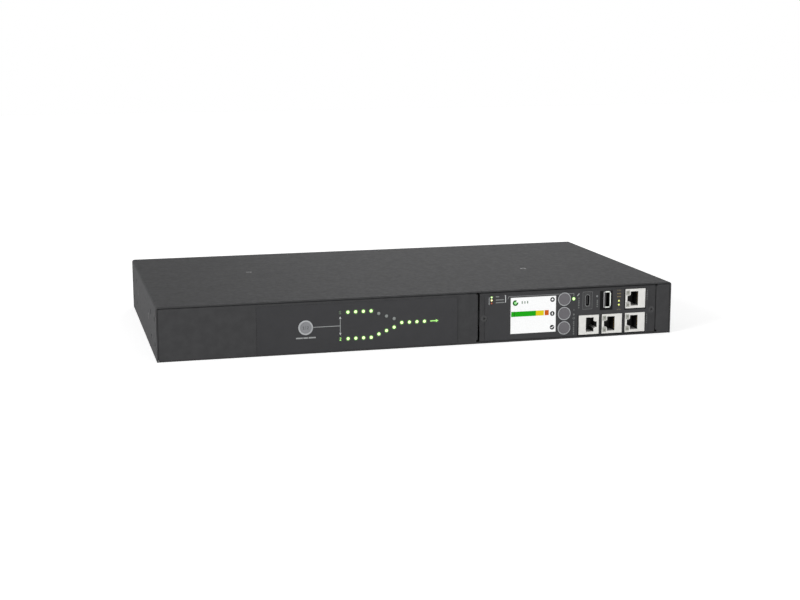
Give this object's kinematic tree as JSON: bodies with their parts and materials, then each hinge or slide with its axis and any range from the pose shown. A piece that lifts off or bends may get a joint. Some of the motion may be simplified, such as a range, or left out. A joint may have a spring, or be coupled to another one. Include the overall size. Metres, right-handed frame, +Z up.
{
  "type": "rack automatic transfer switch",
  "caption": "One-unit rack chassis that feeds twelve outlets from either of two inlets, with lights, a screen, buttons and jacks on its front.",
  "frame": {"origin": "middle of the chassis at the underside of its floor", "axes": "+X to the right seen from the front, +Y from the front face to the rear face, +Z up"},
  "size_m": [0.432, 0.2419, 0.044],
  "materials": {
    "chassis_paint": "textured powder coat, semi-matt",
    "black_screws": "black oxide",
    "zinc": "zinc plated",
    "brass_parts": "passivated",
    "insulation": "film",
    "overlay_film": "fine matt print",
    "circuit_board": "solder mask",
    "led_chip": "moulded",
    "source_1_light": "clear lens",
    "source_2_light": "clear lens",
    "output_light": "clear lens",
    "legend_light": "smoked lens",
    "status_light": "clear lens",
    "link_light": "clear lens",
    "bezel_metal": "satin",
    "preference_key": "satin",
    "nav_keys": "satin",
    "switch_body": "moulded",
    "screen_panel": "smooth",
    "screen_glass": "hard coat",
    "screen_frame": "moulded",
    "jack_shell": "moulded",
    "contact_gold": "plated",
    "usb_c_shell": "moulded",
    "usb_a_shell": "plated",
    "relay_case": "moulded",
    "transformer": "varnished laminations",
    "capacitor_can": "sleeved can",
    "terminal_body": "moulded",
    "header_body": "moulded",
    "inlet_wire": "insulation",
    "feed_wire": "insulation",
    "ribbon": "flat cable",
    "copper_bar": "tinned copper",
    "inlet_body": "moulded",
    "pin_metal": "nickel plated",
    "outlet_body": "moulded"
  },
  "bodies": {
    "chassis": {"base_tray": "chassis_paint", "top_cover": "chassis_paint", "flat_head_screws": "black_screws", "cover_posts": "zinc", "clinch_nuts": "zinc", "ground_screw": "brass_parts", "insulation_sheet": "insulation", "board_standoffs": "brass_parts", "board_screws": "zinc", "flow_overlay": "overlay_film", "flow_board": "circuit_board", "led_chips": "led_chip", "source_1_lenses": "source_1_light", "source_2_lenses": "source_2_light", "output_lenses": "output_light", "legend_lenses": "legend_light", "preference_bezel": "bezel_metal", "preference_switch": "switch_body", "panel_spacers": "zinc", "module_carrier": "chassis_paint", "module_overlay": "overlay_film", "interface_board": "circuit_board", "lcd_panel": "screen_panel", "lcd_window": "screen_glass", "lcd_frame": "screen_frame", "nav_bezels": "bezel_metal", "nav_switches": "switch_body", "network_jack": "jack_shell", "serial_jack": "jack_shell", "sensor_jack_1": "jack_shell", "sensor_jack_2": "jack_shell", "jack_contacts": "contact_gold", "usb_c_port": "usb_c_shell", "usb_a_port": "usb_a_shell", "status_lenses": "status_light", "link_lenses": "link_light", "power_board": "circuit_board", "power_relays": "relay_case", "control_transformers": "transformer", "capacitors": "capacitor_can", "terminal_blocks": "terminal_body", "board_headers": "header_body", "inlet_wires": "inlet_wire", "feed_wires": "feed_wire", "ribbon_cables": "ribbon", "line_busbar": "copper_bar", "neutral_busbar": "copper_bar", "earth_busbar": "copper_bar", "inlet_1": "inlet_body", "inlet_2": "inlet_body", "inlet_pins": "pin_metal", "outlet_bank_1": "outlet_body", "outlet_bank_2": "outlet_body", "outlet_bank_3": "outlet_body", "outlet_bank_4": "outlet_body"},
    "preference_button": {"preference_cap": "preference_key"},
    "menu_button": {"menu_cap": "nav_keys"},
    "scroll_button": {"scroll_cap": "nav_keys"},
    "select_button": {"select_cap": "nav_keys"}
  },
  "joints": [
    {"name": "preference_button_press", "type": "slide", "parent": "chassis", "child": "preference_button", "axis": [0, 1, 0], "range_m": [0, 0.0006], "stiffness_N_per_m": 300, "springref_m": -0.001},
    {"name": "menu_button_press", "type": "slide", "parent": "chassis", "child": "menu_button", "axis": [0, 1, 0], "range_m": [0, 0.0006], "stiffness_N_per_m": 300, "springref_m": -0.001},
    {"name": "scroll_button_press", "type": "slide", "parent": "chassis", "child": "scroll_button", "axis": [0, 1, 0], "range_m": [0, 0.0006], "stiffness_N_per_m": 300, "springref_m": -0.001},
    {"name": "select_button_press", "type": "slide", "parent": "chassis", "child": "select_button", "axis": [0, 1, 0], "range_m": [0, 0.0006], "stiffness_N_per_m": 300, "springref_m": -0.001}
  ]
}
